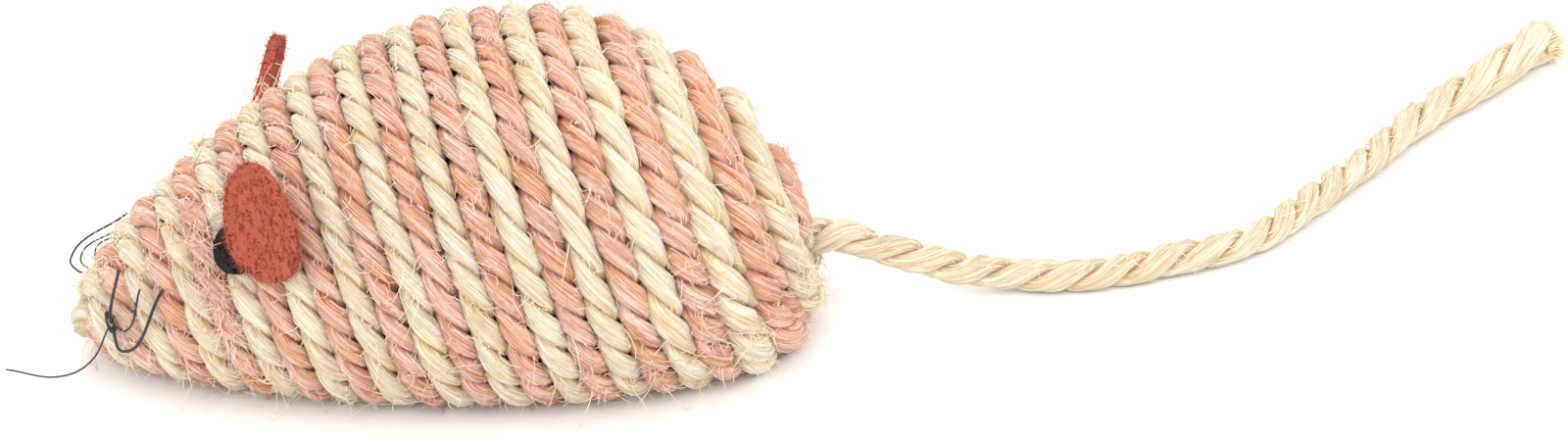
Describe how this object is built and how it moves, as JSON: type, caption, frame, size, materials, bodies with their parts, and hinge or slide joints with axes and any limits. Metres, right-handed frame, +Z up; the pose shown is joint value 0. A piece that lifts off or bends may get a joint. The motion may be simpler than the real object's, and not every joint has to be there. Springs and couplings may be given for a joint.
{
  "type": "catnip mouse",
  "caption": "Mouse-shaped cat toy wound in natural and pink sisal cord, with felt ears and eyes, thread whiskers, a trailing sisal tail and a catnip filling.",
  "frame": {"origin": "on the floor, under the middle of everything but the tail", "axes": "+Z up; the nose points to -X and the tail to +X; the mouse's left side faces -Y"},
  "size_m": [0.2292, 0.0889, 0.0468],
  "materials": {
    "natural_sisal": "matt twisted plant fibre with loose ends",
    "pink_sisal": "matt twisted plant fibre, dyed dusty pink",
    "red_felt": "matt brick-red felt",
    "black_felt": "matt black felt",
    "black_thread": "dull black sewing thread",
    "hot_glue": "clear, slightly cloudy hot-melt glue",
    "core_plastic": "thin moulded plastic",
    "catnip_leaf": "dried leaf crumbs"
  },
  "bodies": {
    "mouse_body": {"core_shell_left": "core_plastic", "core_shell_right": "core_plastic", "catnip_filling": "catnip_leaf", "sisal_wrap_natural": "natural_sisal", "sisal_wrap_pink": "pink_sisal", "tail_knot": "natural_sisal", "glue_ear_left": "hot_glue", "glue_ear_right": "hot_glue", "eye_left": "black_felt", "eye_right": "black_felt", "glue_eye_left": "hot_glue", "glue_eye_right": "hot_glue", "whisker_knot_left": "black_thread", "whisker_knot_right": "black_thread", "whisker_left_1": "black_thread", "whisker_left_2": "black_thread", "whisker_left_3": "black_thread", "whisker_left_4": "black_thread", "whisker_right_1": "black_thread", "whisker_right_2": "black_thread", "whisker_right_3": "black_thread"},
    "left_ear": {"ear_left": "red_felt"},
    "right_ear": {"ear_right": "red_felt"},
    "free_tail": {"tail": "natural_sisal"}
  },
  "joints": [
    {"name": "ear_left_flap", "type": "hinge", "parent": "mouse_body", "child": "left_ear", "pos_m": [-0.01943, -0.02302, 0.02265], "axis": [0.8834, -0.3097, 0.3517], "range_deg": [0, 50], "stiffness_Nm_per_rad": 0.0006},
    {"name": "ear_right_flap", "type": "hinge", "parent": "mouse_body", "child": "right_ear", "pos_m": [-0.01955, 0.01912, 0.02425], "axis": [0.2966, 0.3972, 0.8685], "range_deg": [-8, 30], "stiffness_Nm_per_rad": 0.0006},
    {"name": "tail_swing", "type": "hinge", "parent": "mouse_body", "child": "free_tail", "pos_m": [0.05467, -0.00202, 0.01247], "axis": [0, 0, 1], "range_deg": [-25, 25]}
  ]
}
